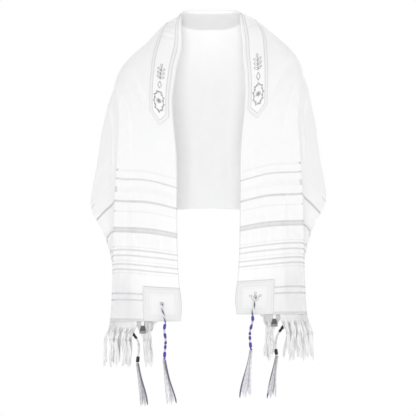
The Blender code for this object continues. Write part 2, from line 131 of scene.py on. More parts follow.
INNER_FOLD = (
    (0, 160, -283, 0),
    (78, 156, -283, 0),
    (150, 142, -282, 0),
    (212, 112, -281, 0),
    (256, 72, -282, 0),
    (276, 34, -298, 0),
    (284, 8, -360, 0),
    (280, -2, -440, 2),
    (262, -24, -500, 6),
    (244, -48, -560, 10),
    (236, -68, -630, 10),
    (232, -84, -708, 10),
)
REAR_FOLD = (
    (0, 154, -349, 0),
    (78, 151, -350, 0),
    (150, 139, -350, 0),
    (216, 112, -349, 0),
    (264, 76, -350, 0),
    (284, 38, -364, 1),
    (277, 10, -424, 3),
    (240, -6, -492, 6),
    (186, -22, -556, 9),
    (142, -44, -630, 10),
    (128, -62, -712, 10),
)
BACK_HEM = (
    (0, 146, -443, 0),
    (78, 145, -445, 0),
    (150, 134, -446, 0),
    (222, 112, -448, 0),
    (268, 80, -448, 0),
    (282, 44, -456, 0),
    (262, 20, -490, 0),
    (230, 8, -540, 0),
    (212, -8, -600, 0),
    (218, -26, -660, 0),
    (226, -42, -716, 0),
)
# Columns: how far across the cloth the line lies, the line
GUIDES = (
    (0.0, NECK_EDGE),
    (68.0, BAND_LINE),
    (RIDGE, FRONT_RIDGE),
    (275.0, SIDE_FOLD),
    (385.0, INNER_FOLD),
    (455.0, REAR_FOLD),
    (CLOTH_WIDTH, BACK_HEM),
)
# Soft creases laid in one by one. Columns: along and across where each starts, along and across where it
# ends, half width, rise (a trough is below zero).
CREASES = (
    (300, 150, 420, 60, 14, -4.4),
    (330, 165, 520, 120, 12, 3.1),
    (430, 20, 700, 44, 12, -2.7),
    (560, 122, 925, 117, 8, -4.6),
    (620, 60, 880, 72, 10, 2.7),
    (700, 150, 925, 158, 8, -2.7),
    (200, 130, 260, 200, 15, -5.1),
    (160, 150, 235, 250, 16, 4.1),
    (250, 190, 520, 250, 12, -4.1),
    (300, 230, 600, 235, 11, 3.4),
    (60, 330, 75, 555, 18, 5.4),
    (20, 200, 30, 420, 20, -4.1),
    (105, 260, 130, 540, 16, -5.8),
    (-300, 140, -430, 70, 13, -4.1),
    (-340, 160, -560, 112, 12, 3.4),
    (-450, 30, -690, 38, 12, -2.5),
    (-560, 122, -925, 117, 8, -4.6),
    (-640, 70, -870, 56, 11, 2.7),
    (-720, 152, -925, 150, 8, -2.4),
    (-190, 125, -255, 190, 15, -5.1),
    (-150, 140, -240, 240, 16, 4.1),
    (-260, 200, -500, 240, 12, -3.7),
    (-310, 240, -620, 230, 11, 3.4),
    (-50, 350, -70, 555, 18, 5.1),
    (-112, 250, -140, 550, 16, -5.4),
    (-10, 120, 6, 240, 18, 3.4),
)
# The stripes of each end. Columns: height above the hem, width, strength, share of it that
# shows beyond the ridge.
STRIPES = (
    (4.5, 4.4, 0.60, 1.0),
    (51.0, 4.2, 0.72, 1.0),
    (66.0, 4.4, 0.72, 1.0),
    (116.0, 3.0, 0.22, 0.05),
    (124.0, 4.2, 0.70, 1.0),
    (137.0, 4.2, 0.70, 1.0),
    (146.0, 5.0, 0.15, 0.05),
    (159.0, 4.2, 0.72, 1.0),
    (173.0, 4.2, 0.72, 1.0),
    (181.0, 3.0, 0.22, 0.05),
    (219.5, 5.0, 0.82, 1.0),
    (228.5, 5.0, 0.82, 0.2),
    (270.0, 3.4, 0.18, 0.05),
    (295.0, 5.4, 0.82, 1.0),
    (323.5, 14.0, 0.07, 0.05),
    (349.5, 4.2, 0.72, 0.05),
    (371.0, 6.0, 0.10, 0.05),
)
WIDE_STRIPE_HEIGHT = 224.0
WIDE_STRIPE_WIDTH = 14.0
# How far the stripes ride up behind the ridge. Columns: height above the hem, rise.
SIDE_RISE = (
    (60.0, 0.0),
    (224.0, 72.0),
    (295.0, 52.0),
    (350.0, 42.0),
    (450.0, 0.0),
)
SIDE_RISE_REACH = 200.0
SIDE_RISE_FADE = 285.0
STRAIGHT_ABOVE = 425.0
FRONT_SAG = 16.0 / 350.0


def natural_curve(knots, values, at):
    """Natural cubic spline through the rows of values."""
    count = len(knots)
    step = np.diff(knots)
    system = np.eye(count)
    right = np.zeros_like(values)
    for i in range(1, count - 1):
        system[i, i - 1] = step[i - 1]
        system[i, i] = 2 * (step[i - 1] + step[i])
        system[i, i + 1] = step[i]
        right[i] = 6 * ((values[i + 1] - values[i]) / step[i] - (values[i] - values[i - 1]) / step[i - 1])
    bend = np.linalg.solve(system, right)
    i = np.clip(np.searchsorted(knots, at, side="right") - 1, 0, count - 2)
    left = (knots[i + 1] - at)[:, None]
    gone = (at - knots[i])[:, None]
    width = step[i][:, None]
    cubic = (bend[i] * left ** 3 + bend[i + 1] * gone ** 3) / (6 * width)
    start = (values[i] / width - bend[i] * width / 6) * left
    end = (values[i + 1] / width - bend[i + 1] * width / 6) * gone
    return cubic + start + end


def steady_curve(knots, values, at):
    """Cubic curve through the rows of values that never swings past a row."""
    step = np.diff(knots)[:, None]
    slope = np.diff(values, axis=0) / step
    same = slope[:-1] * slope[1:] > 0
    before = np.where(same, slope[:-1], 1)
    after = np.where(same, slope[1:], 1)
    near = 2 * step[1:] + step[:-1]
    far = step[1:] + 2 * step[:-1]
    tangent = np.zeros_like(values)
    tangent[1:-1] = np.where(same, (near + far) / (near / before + far / after), 0)
    tangent[0] = slope[0]
    tangent[-1] = slope[-1]
    i = np.clip(np.searchsorted(knots, at, side="right") - 1, 0, len(knots) - 2)
    width = step[i]
    t = (at - knots[i])[:, None] / width
    start = (2 * t ** 3 - 3 * t ** 2 + 1) * values[i] + (t ** 3 - 2 * t ** 2 + t) * width * tangent[i]
    end = (3 * t ** 2 - 2 * t ** 3) * values[i + 1] + (t ** 3 - t ** 2) * width * tangent[i + 1]
    return start + end


def unit(vectors):
    """Vectors at length one."""
    vectors = np.asarray(vectors, float)
    return vectors / np.maximum(np.linalg.norm(vectors, axis=-1, keepdims=True), 1e-9)


def ease(share):
    """Smooth step from 0 to 1."""
    t = np.clip(share, 0, 1)
    return t * t * (3 - 2 * t)


def guide_points(along):
    """Points and fold radii of every guide line at the given distances along."""
    lines = []
    for _, rows in GUIDES:
        rows = np.array(rows, float)
        step = np.linalg.norm(np.diff(rows[:, :3], axis=0), axis=1)
        reach = np.concatenate([[0.0], np.cumsum(step)])
        reach *= HALF_LENGTH / reach[-1]
        mirrored = rows[:0:-1] * np.array([-1, 1, 1, 1])
        knots = np.concatenate([-reach[:0:-1], reach])
        lines.append(natural_curve(knots, np.concatenate([mirrored, rows]), along))
    return np.array(lines)


def cross_section(points, turns, across):
    """One line across the cloth, round its folds."""
    places = np.array([place for place, _ in GUIDES])
    open_curve = natural_curve(places, points, across)
    folded = ease(max(turns) / 6)
    if folded == 0:
        return open_curve
    knots = [GUIDES[0][0]]
    rows = [points[0]]
    for i in range(1, len(points) - 1):
        place = GUIDES[i][0]
        turn = turns[i]
        if turn < 0.5:
            knots.append(place)
            rows.append(points[i])
            continue
        into = unit(points[i] - points[i - 1])
        away = unit(points[i + 1] - points[i])
        outward = unit(into - away)
        sideways = into + away
        sideways = unit(sideways - outward * sideways.dot(outward))
        arc = turn * math.pi / 2
        knots += [place - arc, place, place + arc]
        rows += [
            points[i] - outward * turn - sideways * turn,
            points[i],
            points[i] - outward * turn + sideways * turn,
        ]
    knots.append(GUIDES[-1][0])
    rows.append(points[-1])
    folded_curve = steady_curve(np.array(knots), np.array(rows), across)
    return open_curve * (1 - folded) + folded_curve * folded


def blur(grid, axis, spread):
    """Gaussian smoothing along one axis that keeps the ends in place."""
    reach = int(3 * spread) + 1
    kernel = np.exp(-0.5 * (np.arange(-reach, reach + 1) / spread) ** 2)
    kernel /= kernel.sum()
    moved = np.moveaxis(grid, axis, 0)
    first = 2 * moved[:1] - moved[reach:0:-1]
    last = 2 * moved[-1:] - moved[-2:-reach - 2:-1]
    padded = np.concatenate([first, moved, last])
    total = sum(share * padded[i:i + len(moved)] for i, share in enumerate(kernel))
    return np.moveaxis(total, 0, axis)


def grid_normals(grid):
    """Unit normals of a grid of points, facing out of the worn cloth."""
    return unit(np.cross(np.gradient(grid, axis=0), np.gradient(grid, axis=1)))


def crease_rise(along, across):
    """How far the creases lift the cloth at each point of the grid."""
    rise = np.zeros((len(along), len(across)))
    for along_one, across_one, along_two, across_two, half_width, height in CREASES:
        run = np.array([along_two - along_one, across_two - across_one], float)
        length = np.linalg.norm(run)
        gone = (along[:, None] - along_one, across[None, :] - across_one)
        share = (gone[0] * run[0] + gone[1] * run[1]) / length ** 2
        aside = (gone[0] * run[1] - gone[1] * run[0]) / length / half_width
        rise += height * ease(share * 3) * ease((1 - share) * 3) * np.exp(-aside ** 2)
    return rise


def draped_cloth():
    """Distances along and across, and the points of the cloth as it hangs."""
    along = np.linspace(-HALF_LENGTH, HALF_LENGTH, ROWS)
    across = np.linspace(0, CLOTH_WIDTH, COLUMNS)
    fine = np.linspace(0, CLOTH_WIDTH, 4 * COLUMNS - 3)
    lines = guide_points(along)
    curves = np.array([cross_section(lines[:, i, :3], lines[:, i, 3], fine) for i in range(ROWS)])
    step = np.linalg.norm(np.diff(curves, axis=1), axis=2)
    reach = np.concatenate([np.zeros((ROWS, 1)), np.cumsum(step, axis=1)], axis=1)
    place = np.tile(across, (ROWS, 1))
    outer = across > RIDGE
    share = (across[outer] - RIDGE) / (CLOTH_WIDTH - RIDGE)
    for i in range(ROWS):
        ridge_shade = np.interp(RIDGE, fine, reach[i])
        place[i, outer] = np.interp(ridge_shade + share * (reach[i, -1] - ridge_shade), reach[i], fine)
    along_step = along[1] - along[0]
    place = blur(place, 0, 25 / along_step)
    read = [[np.interp(place[i], fine, curves[i, :, k]) for k in range(3)] for i in range(ROWS)]
    grid = np.moveaxis(np.array(read), 1, 2)
    grid = blur(grid, 0, 8 / along_step)
    grid = blur(grid, 1, 4 / (across[1] - across[0]))
    distance = np.abs(along)[:, None]
    width = across[None, :]
    grid[..., 2] -= LEFT_DROP * ease((distance - 75 - 0.15 * width) / 90) * (along[:, None] < 0)
    slump = ease((distance - 145) / 70) * ease((400 - distance) / 120) * (along[:, None] < 0)
    grid[..., 2] -= LEFT_SLUMP * slump
    grid[..., 0] += LEFT_SLUMP / 2 * slump
    shift = ease((distance - 20) / 60) * ease((290 - distance) / 80) * ease(1 - width / 120)
    grid[..., 0] += NECK_SHIFT * shift
    fullness = ease((distance - 90) / 70) * ease((380 - distance) / 90) * ease((width - 190) / 330)
    pitch = WAVE_PITCH + WAVE_PITCH_CHANGE * np.sign(along[:, None])
    wave = np.sin(2 * math.pi * (distance - WAVE_START) / pitch)
    crease = ease(1 - np.abs(width - CREASE_ACROSS) / CREASE_HALF_WIDTH) * ease((distance - 770) / 110)
    offset = WAVE_HEIGHT * fullness * wave - CREASE_DEPTH * crease + crease_rise(along, across)
    return along, across, grid + grid_normals(grid) * offset[..., None]


ALONG, ACROSS, CLOTH = draped_cloth()
CLOTH_NORMALS = grid_normals(CLOTH)


def on_cloth(along, across, lift=0.0):
    """Points at the given places of the cut cloth, lifted off it, and the normals there."""
    along, across, lift = np.broadcast_arrays(np.asarray(along, float), across, lift)
    row = np.clip((along + HALF_LENGTH) / (ALONG[1] - ALONG[0]), 0, ROWS - 1.001)
    column = np.clip(across / (ACROSS[1] - ACROSS[0]), 0, COLUMNS - 1.001)
    i = row.astype(int)
    j = column.astype(int)
    s = (row - i)[..., None]
    t = (column - j)[..., None]
    reads = []
    for grid in (CLOTH, CLOTH_NORMALS):
        near = grid[i, j] * (1 - t) + grid[i, j + 1] * t
        far = grid[i + 1, j] * (1 - t) + grid[i + 1, j + 1] * t
        reads.append(near * (1 - s) + far * s)
    normals = unit(reads[1])
    return reads[0] + normals * lift[..., None], normals


def keep_places(piece, name, first, second):
    """Keep two measures of every point of a sheet, in millimetres, for its finish to read."""
    layer = piece.data.uv_layers.new(name=name)
    corners = np.empty(len(piece.data.loops), int)
    piece.data.loops.foreach_get("vertex_index", corners)
    layer.data.foreach_set("uv", (np.stack([first.ravel(), second.ravel()], -1)[corners] * MM).ravel())


def sheet_piece(name, points, along, across, wall):
    """Sheet object over a grid of points, in millimetres, that remembers its places in the cut."""
    rows, columns = points.shape[:2]
    number = np.arange(rows * columns).reshape(rows, columns)
    corners = (number[:-1, :-1], number[1:, :-1], number[1:, 1:], number[:-1, 1:])
    faces = np.stack(corners, -1).reshape(-1, 4)
    mesh = bpy.data.meshes.new(name)
    mesh.from_pydata((points.reshape(-1, 3) * MM).tolist(), [], faces.tolist())
    mesh.shade_smooth()
    piece = bpy.data.objects.new(name, mesh)
    bpy.context.scene.collection.objects.link(piece)
    solid = piece.modifiers.new("wall", "SOLIDIFY")
    solid.thickness = wall * MM
    solid.offset = 0
    keep_places(piece, "cut", along, across)
    return piece


class Shade:
    """A socket of a finish's shader, which adds a Math node where it is used in arithmetic."""

    def __init__(self, tree, socket):
        self.tree = tree
        self.socket = socket

    def node(self, kind, settings, inputs, output=0):
        """Another node of this finish: its settings first, then the values or links of its sockets."""
        made = self.tree.nodes.new(kind)
        for name, value in settings.items():
            setattr(made, name, value)
        for name, value in inputs.items():
            if isinstance(value, Shade):
                self.tree.links.new(value.socket, made.inputs[name])
            else:
                made.inputs[name].default_value = value
        return Shade(self.tree, made.outputs[output])

    def maths(self, operation, first, second=0.0, clamp=False):
        """A Math node."""
        settings = {"operation": operation, "use_clamp": clamp}
        return self.node("ShaderNodeMath", settings, {0: first, 1: second})

    def __add__(self, other):
        return self.maths("ADD", self, other)

    __radd__ = __add__

    def __sub__(self, other):
        return self.maths("SUBTRACT", self, other)

    def __rsub__(self, other):
        return self.maths("SUBTRACT", other, self)

    def __mul__(self, other):
        return self.maths("MULTIPLY", self, other)

    __rmul__ = __mul__

    def __truediv__(self, other):
        return self.maths("DIVIDE", self, other)

    def __abs__(self):
        return self.maths("ABSOLUTE", self)

    def larger(self, other):
        """The larger of two values."""
        return self.maths("MAXIMUM", self, other)

    def wave(self, length):
        """Sine wave of that length over this value, from -1 to 1."""
        return self.maths("SINE", self * (2 * math.pi / length))

    def line(self, middle, width, soft):
        """1 on a line of that width over this value, fading to 0 over its soft edge."""
        return self.maths("ADD", (width / 2 - abs(self - middle)) / soft, 0.5, clamp=True)

    def tint(self, first, second):
        """Colour from the first to the second by this value."""
        colours = [colour if isinstance(colour, Shade) else (*colour, 1.0) for colour in (first, second)]
        inputs = {0: self, 6: colours[0], 7: colours[1]}
        return self.node("ShaderNodeMix", {"data_type": "RGBA"}, inputs, 2)


def new_finish(name, places, **constants):
    """A finish's material, its shader and the two places of its cut, with the shader's fixed values."""
    material = bpy.data.materials.new(name)
    material.use_nodes = True
    tree = material.node_tree
    shader = tree.nodes["Principled BSDF"]
    for socket, value in constants.items():
        shader.inputs[socket.replace("_", " ")].default_value = value
    root = Shade(tree, None)
    place = root.node("ShaderNodeUVMap", {"uv_map": places}, {})
    first = root.node("ShaderNodeSeparateXYZ", {}, {0: place}, 0)
    second = Shade(tree, first.socket.node.outputs[1])
    return material, shader, first, second


def noise(shade, scale, detail=2.0):
    """Mottling from 0 to 1 over the piece, with that many spots a metre."""
    place = shade.node("ShaderNodeTexCoord", {}, {}, 3)
    return shade.node("ShaderNodeTexNoise", {}, {"Vector": place, "Scale": scale, "Detail": detail})


def connect(shader, **values):
    """Drive the shader's sockets with worked-out values."""
    for socket, value in values.items():
        value.tree.links.new(value.socket, shader.inputs[socket.replace("_", " ")])


def bump(height, strength, depth):
    """Normals of a relief of that height."""
    inputs = {"Height": height, "Strength": strength, "Distance": depth * MM}
    return height.node("ShaderNodeBump", {}, inputs)


def stripe_heights():
    """Height above the hem at which the weaver's stripes are counted, as the worn cloth shows them."""
    column = int(round(RIDGE / (ACROSS[1] - ACROSS[0])))
    height = np.zeros_like(CLOTH[..., 2])
    for hem, part in ((0, ALONG < 0), (-1, ALONG >= 0)):
        fall = CLOTH[:, column, 2] - CLOTH[hem, column, 2]
        above = HALF_LENGTH - np.abs(ALONG) - STRAIGHT_ABOVE
        level = np.where(above < 0, fall, fall[np.abs(above).argmin()] + above)
        height[part] = level[part][:, None]
    inner = np.clip(1 - ACROSS / RIDGE, 0, 1)
    outer = np.clip((ACROSS - RIDGE) / SIDE_RISE_REACH, 0, 1)
    outer = outer * ease((CLOTH_WIDTH - ACROSS) / SIDE_RISE_FADE)
    rise = np.interp(height, *np.array(SIDE_RISE).T)
    return height - height * FRONT_SAG * inner * (1 - inner) - rise * outer


WHITE_YARN = (0.93, 0.93, 0.935)
SHADED_YARN = (0.84, 0.84, 0.85)
# Painted light: the whiter tone of the cloth where the neckband backs it.
BACKING_LIGHT_YARN = (0.98, 0.98, 0.98)
SILVER_YARN = (0.50, 0.50, 0.52)
WEAVE_PITCH = 0.0016
woven_white, shader, along, across = new_finish(
    "woven_white", "cut", Sheen_Weight=0.25, Sheen_Roughness=0.5, Specular_IOR_Level=0.25,
    Subsurface_Weight=0.6, Subsurface_Radius=(1.0, 1.0, 1.0), Subsurface_Scale=0.004
)
stripe_place = along.node("ShaderNodeUVMap", {"uv_map": "stripes"}, {})
height = along.node("ShaderNodeSeparateXYZ", {}, {0: stripe_place})
# Where the cloth turns at the ridge every stripe is painted stronger and darker, painted shade of the
# silver threads at the fold. Beyond the ridge the faint ones are lost.
ridge_shade = across.line(RIDGE * MM, 0.009, 0.006)
beyond = across.line(0.275, 0.195, 0.008)
flecks = noise(along, 260.0, 1.0)
silver = height.line(WIDE_STRIPE_HEIGHT * MM, WIDE_STRIPE_WIDTH * MM, 0.002)
silver = silver * (flecks * 0.5 + 0.38) * (1 - beyond * 0.8)
for middle, width, strength, share in STRIPES:
    seen = (ridge_shade * (0.85 - strength) + strength) * (1 - beyond * (1 - share))
    broad = beyond * (width * MM * 0.4) + width * MM
    silver = silver.larger(height.line(middle * MM, broad, 0.0015) * seen)
# A grey line along the neck edge is painted shadow at the edge.
neck_edge_shadow = across.line(0.0, 0.005, 0.0015)
silver = silver.larger(neck_edge_shadow * 0.3)
# Where the neckband backs the cloth it is painted whiter, painted light for what the backing sends back
# through it, seen from the inside of the neck.
behind_band_light = across.line(0.035, 0.052, 0.002) * abs(along).line(0.0, 0.82, 0.004)
# Darker streaks run along the cloth, and show only towards the hems.
mottle = noise(along, 60.0)
streak_place = along.node("ShaderNodeCombineXYZ", {}, {0: along * 9, 1: across * 150})
streaks = along.node("ShaderNodeTexNoise", {}, {"Vector": streak_place, "Scale": 1.0, "Detail": 1.0})
low_down = height.line(0.0, 0.46, 0.05)
yarn = (mottle * 0.3 + streaks * low_down * 0.95).tint(WHITE_YARN, SHADED_YARN)
yarn = behind_band_light.tint(yarn, BACKING_LIGHT_YARN)
weave = along.wave(WEAVE_PITCH) * across.wave(WEAVE_PITCH)
connect(
    shader,
    Base_Color=silver.tint(yarn, SILVER_YARN),
    Roughness=0.85 - silver * 0.4,
    Metallic=silver * 0.35,
    Normal=bump(weave + mottle * 0.5 + streaks * low_down + silver * 0.8, 0.25, 0.35),
)
grid_along, grid_across = np.meshgrid(ALONG, ACROSS, indexing="ij")
cloth = sheet_piece("woven_cloth", CLOTH, grid_along, grid_across, CLOTH_WALL)
keep_places(cloth, "stripes", stripe_heights(), grid_across)
cloth.data.materials.append(woven_white)
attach(cloth, "root")
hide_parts("cloth_back", "cloth_left_front", "cloth_right_front")

# The neckband: a strip of white satin with two pointed ends, backed and sewn flat along the
# neck edge. A grey line runs inside its edge, and each end carries embroidery in grey thread:
# a leafy sprig, a small diamond and an oval wreath round a rosette.
BAND_START = 10.0
BAND_END = 60.0
BAND_STRAIGHT = 423.0
BAND_TIP = 452.0
BAND_LIFT = 1.3
BAND_WALL = 0.7
BAND_BORDER = 7.5
# Columns: distance from the edge, width, strength
BAND_LINES = ((7.6, 2.2, 0.75),)


def satin_finish(name, middle_tone, border_tone, border_width, lines):
    """White satin with a greyer woven border and thin lines at the given distances from its edge."""
    material, shader, along, edge = new_finish(
        name, "edge", Sheen_Weight=0.15, Specular_IOR_Level=0.45,
        Subsurface_Weight=0.3, Subsurface_Radius=(1.0, 1.0, 1.0), Subsurface_Scale=0.003
    )
    border = edge.line(0.0, border_width * 2 * MM, 0.0012)
    # A faint dark line along the very edge is painted shadow at the edge.
    mark = edge.line(0.0008, 0.0018, 0.0010) * 0.4
    for distance, width, strength in lines:
        mark = mark.larger(edge.line(distance * MM, width * MM, 0.0009) * strength)
    mottle = noise(along, 90.0)
    rib = along.wave(0.0024) * border
    # The satin crumples where it turns down at the side of the neck: a bump, with its wrinkles painted
    # grey as painted shade.
    crumple_place = along.node("ShaderNodeCombineXYZ", {}, {0: along * 90, 1: edge * 25})
    crumple_shade_and_relief = along.node("ShaderNodeTexNoise", {}, {"Vector": crumple_place, "Scale": 1.0, "Detail": 1.5})
    crumple_shade_and_relief = (crumple_shade_and_relief - 0.46).larger(0.0) * abs(along).line(0.160, 0.085, 0.02)
    plain = (mottle * 0.3 + crumple_shade_and_relief * 4.0).tint(middle_tone, border_tone)
    yarn = (border * (0.75 + rib * 0.2 + mottle * 0.3)).tint(plain, border_tone)
    connect(
        shader,
        Base_Color=(mark * (0.55 + mottle * 0.3)).tint(yarn, (0.46, 0.46, 0.48)),
        Roughness=0.45 + mottle * 0.2,
        Normal=bump(mottle * 0.5 + rib * 0.4 + crumple_shade_and_relief * 2.5 + mark * 0.5, 0.4, 0.5),
    )
    return material


def band_half_width(along):
    """Half the width of the neckband, which closes to a point at each end."""
    slack = np.clip((np.abs(along) - BAND_STRAIGHT) / (BAND_TIP - BAND_STRAIGHT), 0, 1)
    return (BAND_END - BAND_START) / 2 * (1 - slack) + 0.4


band_along = np.concatenate([
    np.linspace(-BAND_TIP, -BAND_STRAIGHT, 13)[:-1],
    np.linspace(-BAND_STRAIGHT, BAND_STRAIGHT, 203),
    np.linspace(BAND_STRAIGHT, BAND_TIP, 13)[1:],
])
band_share = np.linspace(-1, 1, 25)
grid_along, grid_share = np.meshgrid(band_along, band_share, indexing="ij")
grid_across = (BAND_START + BAND_END) / 2 + grid_share * band_half_width(grid_along)
# Distance from the nearest edge, at the straight sides and at the slanted tips.
side_room = (1 - np.abs(grid_share)) * band_half_width(grid_along)
tip_slope = (BAND_END - BAND_START) / 2 / (BAND_TIP - BAND_STRAIGHT)
tip_room = (BAND_TIP - np.abs(grid_along)) * tip_slope - np.abs(grid_share) * band_half_width(grid_along)
tip_room /= math.hypot(1, tip_slope)
room = np.minimum(np.maximum(side_room, 0), np.maximum(tip_room, 0))
puff = BAND_LIFT + 0.7 * ease(room / 3) - 0.25 * np.exp(-((room - 3.5) / 0.9) ** 2)
points, _ = on_cloth(grid_along, grid_across, puff)
neckband = sheet_piece("neckband", points, grid_along, grid_across, BAND_WALL)
keep_places(neckband, "edge", grid_along, room)
satin_white = satin_finish("satin_white", (0.98, 0.98, 0.98), (0.85, 0.85, 0.86), BAND_BORDER, BAND_LINES)
neckband.data.materials.append(satin_white)
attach(neckband, "root")
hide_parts("atara")


class Yarns:
    """Threads gathered into one mesh, each a tube that knows its length and the way round it."""

    def __init__(self):
        self.points = []
        self.faces = []
        self.places = []
        self.kinds = []
        self.count = 0

    def add(self, line, radius, facing, sides=6, kind=0, flat=1.0):
        """One thread along a line of points, flattened along its facing where flat is under 1."""
        line = np.asarray(line, float)
        radius = np.broadcast_to(np.asarray(radius, float), len(line))
        ahead = unit(np.gradient(line, axis=0))
        side = unit(np.cross(ahead, facing))
        front = unit(np.cross(side, ahead))
        turn = 2 * math.pi * np.arange(sides) / sides
        arm = side[:, None] * np.cos(turn)[None, :, None]
        arm = arm + front[:, None] * np.sin(turn)[None, :, None] * flat
        self.points.append((line[:, None] + arm * radius[:, None, None]).reshape(-1, 3))
        gone = np.concatenate([[0.0], np.cumsum(np.linalg.norm(np.diff(line, axis=0), axis=1))])
        for i in range(len(line) - 1):
            low = self.count + i * sides
            for k in range(sides):
                after = (k + 1) % sides
                self.faces.append((low + k, low + after, low + sides + after, low + sides + k))
                one, two = k / sides, (k + 1) / sides
                self.places += [(gone[i], one), (gone[i], two), (gone[i + 1], two), (gone[i + 1], one)]
        last = self.count + (len(line) - 1) * sides
        self.faces.append(tuple(range(self.count + sides - 1, self.count - 1, -1)))
        self.faces.append(tuple(range(last, last + sides)))
        self.places += [(0.0, 0.5)] * sides + [(gone[-1], 0.5)] * sides
        self.kinds += [kind] * ((len(line) - 1) * sides + 2)
        self.count += len(line) * sides

    def piece(self, name, finishes):
        """The joined mesh as an object with its finishes."""
        mesh = bpy.data.meshes.new(name)
        mesh.from_pydata((np.concatenate(self.points) * MM).tolist(), [], self.faces)
        layer = mesh.uv_layers.new(name="yarn")
        layer.data.foreach_set("uv", (np.array(self.places) * (MM, 1.0)).ravel())
        for finish in finishes:
            mesh.materials.append(finish)
        mesh.polygons.foreach_set("material_index", self.kinds)
        mesh.shade_smooth()
        made = bpy.data.objects.new(name, mesh)
        bpy.context.scene.collection.objects.link(made)
        return made


def yarn_finish(name, light, dark, pitch, roughness, depth=0.35):
    """Twisted yarn: the plies wind round it, with a darker line between them painted as the shade in the
    groove.
    """
    material, shader, gone, around = new_finish(
        name, "yarn", Sheen_Weight=0.3, Specular_IOR_Level=0.3,
        Subsurface_Weight=0.7, Subsurface_Radius=(1.0, 1.0, 1.0), Subsurface_Scale=0.003
    )
    # The darker line between the plies is painted shade.
    ply = (gone / (pitch * MM) + around * 2).wave(1.0) * 0.5 + 0.5
    fuzz = noise(gone, 400.0)
    connect(
        shader,
        Base_Color=(ply * 0.55 + fuzz * 0.35).tint(dark, light),
        Roughness=roughness + fuzz * 0.1,
        Normal=bump(ply + fuzz * 0.4, 0.5, depth),
    )
    return material


def thread_path(places, lift, closed=False, step=0.8):
    """Line on the cloth through places in the cut, smoothed, with its normals."""
    places = np.array(places, float)
    if closed:
        places = np.concatenate([places, places[:1]])
    run = np.linalg.norm(np.diff(places, axis=0), axis=1)
    knots = np.concatenate([[0.0], np.cumsum(run)])
    at = np.linspace(0, knots[-1], max(4, int(knots[-1] / step)))
    if closed or len(places) == 2:
        smooth = np.stack([np.interp(at, knots, places[:, k]) for k in range(2)], -1)
    else:
        smooth = natural_curve(knots, places, at)
    return on_cloth(smooth[:, 0], smooth[:, 1], lift)


def leaf(middle, heading, length, width):
    """Outline of a leaf: places along and across, from its stalk round its tip and back."""
    turn = np.linspace(0, 2 * math.pi, 15)[:-1]
    ahead = (1 - np.cos(turn)) / 2 * length
    fullness = np.clip(np.sin(ahead / length * math.pi), 0, 1) ** 0.5
    aside = np.sin(turn) * width / 2 * fullness
    axis = np.array([math.cos(heading), math.sin(heading)])
    across_axis = np.array([-axis[1], axis[0]])
    return np.array(middle) + ahead[:, None] * axis + aside[:, None] * across_axis


def ring(middle, radius_along, radius_across, count=24):
    """Places round an oval."""
    turn = np.linspace(0, 2 * math.pi, count + 1)[:-1]
    return np.array(middle) + np.stack([radius_along * np.cos(turn), radius_across * np.sin(turn)], -1)


BAND_MIDDLE = 35.0
STITCH_LIFT = 2.3
STITCH_FULLNESS = 1.35
STITCH_FLATNESS = 0.5
SPRIG_TOP = 288.0
SPRIG_FOOT = 328.0
SPRIG_PAIRS = 3
SPRIG_PITCH = 12.0
DIAMOND_MIDDLE = 344.0
WREATH_MIDDLE = 391.0
WREATH_LENGTH = 26.0
WREATH_WIDTH = 12.0
WREATH_LEAVES = 18
ROSETTE_PETALS = 6


def embroider(end):
    """Strokes of one end's embroidery, as places in the cut with the width of the stitching."""
    strokes = [([(end * SPRIG_TOP, BAND_MIDDLE), (end * SPRIG_FOOT, BAND_MIDDLE)], 0.7, False)]
    upward = 0 if end < 0 else math.pi
    for k in range(SPRIG_PAIRS):
        stalk = (end * (SPRIG_TOP + 13 + SPRIG_PITCH * k), BAND_MIDDLE)
        for side in (-1, 1):
            strokes.append((leaf(stalk, upward + side * end * 0.85, 12.5, 5.6), 0.75, True))
    strokes.append((leaf((end * (SPRIG_TOP + 2), BAND_MIDDLE), upward, 10.0, 5.0), 0.75, True))
    strokes.append((ring((end * DIAMOND_MIDDLE, BAND_MIDDLE), 11.0, 4.6, 4), 0.8, True))
    middle = (end * WREATH_MIDDLE, BAND_MIDDLE)
    for k in range(WREATH_LEAVES):
        turn = 2 * math.pi * (k + 0.5) / WREATH_LEAVES
        root = (middle[0] + WREATH_LENGTH * math.cos(turn), middle[1] + WREATH_WIDTH * math.sin(turn))
        heading = math.atan2(WREATH_WIDTH * math.cos(turn), -WREATH_LENGTH * math.sin(turn))
        strokes.append((leaf(root, heading + (0.5 if k % 2 else -0.5), 5.6, 3.2), 0.65, True))
    strokes.append((ring(middle, WREATH_LENGTH, WREATH_WIDTH), 0.6, True))
    for k in range(ROSETTE_PETALS):
        strokes.append((leaf(middle, 2 * math.pi * k / ROSETTE_PETALS, 6.6, 4.2), 0.65, True))
    strokes.append((ring(middle, 1.2, 1.2, 8), 0.8, True))
    return strokes


grey_thread = yarn_finish("grey_thread", (0.58, 0.58, 0.60), (0.40, 0.40, 0.42), 1.1, 0.45)
embroidery = Yarns()
for end in (-1, 1):
    for places, radius, closed in embroider(end):
        line, normals = thread_path(places, STITCH_LIFT, closed)
        embroidery.add(line, STITCH_FULLNESS * radius, normals, 5, 0, STITCH_FLATNESS)
stitching = embroidery.piece("neckband_embroidery", [grey_thread])
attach(stitching, "root")

# The corner patches: squares of white satin sewn on each corner, front and rear, to carry the
# eyelet of the corner tassel. Each has a broad border, thin frame lines and two stitched rings
# round its eyelet, with three small buds beside them on all but the left front patch.
PATCH_WIDTH = 90.0
PATCH_HEIGHT = 82.0
PATCH_LIFT = 1.2
PATCH_WALL = 0.6
PATCH_BORDER = 12.5
EYELET_ABOVE_HEM = 42.0
EYELET_ACROSS = 47.0
EYELET_LIFT = 2.1
# Columns: distance from the edge, width, strength
PATCH_LINES = (
    (5.0, 3.0, 0.16),
    (14.0, 2.4, 0.32),
    (18.5, 1.8, 0.18),
)
